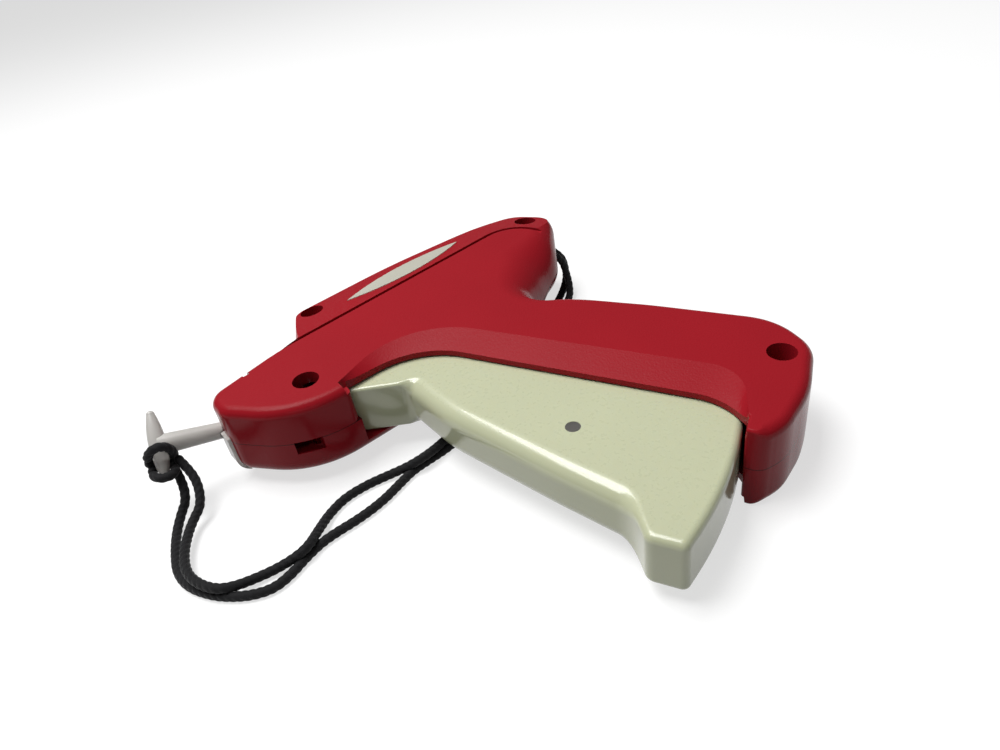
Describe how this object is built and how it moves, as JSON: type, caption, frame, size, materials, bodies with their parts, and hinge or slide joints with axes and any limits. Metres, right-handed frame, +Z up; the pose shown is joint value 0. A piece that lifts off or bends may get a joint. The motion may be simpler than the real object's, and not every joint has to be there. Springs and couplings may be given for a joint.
{
  "type": "garment tag attacher",
  "caption": "Hand-held garment tag attacher with a hollow two-part casing, long squeeze trigger, needle nose under a pull-off cap, and a doubled wrist cord.",
  "frame": {"origin": "centre of the tool's footprint without its cord, on the surface it lies on", "axes": "+X from the needle nose to the rear, +Y from the handle up to the top ridge, +Z up; the tool lies on its side, handle end on the surface and barrel on its cord"},
  "size_m": [0.1724, 0.159, 0.0295],
  "materials": {
    "casing_red": "moulded plastic, fine grain on the flat faces, polished walls",
    "trigger_cream": "moulded plastic, smooth",
    "screw_steel": "zinc plated",
    "pin_steel": "ground steel",
    "link_steel": "stamped steel",
    "inner_plastic": "moulded acetal",
    "spring_steel": "bright steel",
    "clear_plastic": "translucent moulded plastic",
    "label_silver": "satin film, blank",
    "cord_black": "twisted textile cord"
  },
  "bodies": {
    "casing": {"lower_housing": "casing_red", "upper_housing": "casing_red", "housing_screws": "screw_steel", "trigger_pin": "pin_steel", "rocker_pin": "pin_steel", "return_spring": "spring_steel", "needle_holder": "clear_plastic", "needle": "spring_steel", "feed_shaft": "pin_steel", "detent_spring": "spring_steel", "clip_knife": "spring_steel", "label_plate": "label_silver", "lanyard_pin": "pin_steel", "lanyard_loop": "cord_black", "lanyard_strand_a": "cord_black", "lanyard_strand_b": "cord_black"},
    "trigger": {"trigger": "trigger_cream", "trigger_link_pin": "pin_steel"},
    "links": {"drive_link_lower": "link_steel", "drive_link_upper": "link_steel"},
    "rocker": {"rocker": "inner_plastic", "rocker_link_pin": "pin_steel"},
    "slide": {"slide": "inner_plastic", "push_rod": "spring_steel"},
    "wheel": {"feed_wheel": "inner_plastic"},
    "cap": {"needle_cap": "clear_plastic", "lanyard_hitch": "cord_black"}
  },
  "joints": [
    {"name": "trigger_squeeze", "type": "hinge", "parent": "casing", "child": "trigger", "pos_m": [-0.02311, 0.03375, 0.01608], "axis": [0, -0.0341, 0.9994], "range_deg": [0, 16], "stiffness_Nm_per_rad": 1.5, "springref_deg": -17.19},
    {"name": "link_swing", "type": "hinge", "parent": "trigger", "child": "links", "pos_m": [0.00519, -0.03371, 0.01378], "axis": [0, -0.0341, 0.9994], "range_deg": [-4, 0]},
    {"name": "rocker_swing", "type": "hinge", "parent": "casing", "child": "rocker", "pos_m": [0.01279, 0.03185, 0.01602], "axis": [0, -0.0341, 0.9994], "range_deg": [0, 50.4]},
    {"name": "slide_travel", "type": "slide", "parent": "casing", "child": "slide", "axis": [-1, 0, 0], "range_m": [0, 0.029]},
    {"name": "wheel_turn", "type": "hinge", "parent": "casing", "child": "wheel", "pos_m": [-0.04661, 0.04355, 0.01031], "axis": [1, 0, 0], "continuous": true},
    {"name": "cap_pull", "type": "slide", "parent": "casing", "child": "cap", "axis": [-1, 0, 0], "range_m": [0, 0.022]}
  ],
  "couplings": [
    {"joint": "link_swing", "follows": "trigger_squeeze", "ratio": -0.244},
    {"joint": "rocker_swing", "follows": "trigger_squeeze", "ratio": 3.148},
    {"joint": "slide_travel", "follows": "trigger_squeeze", "m_per_rad": 0.10363}
  ]
}
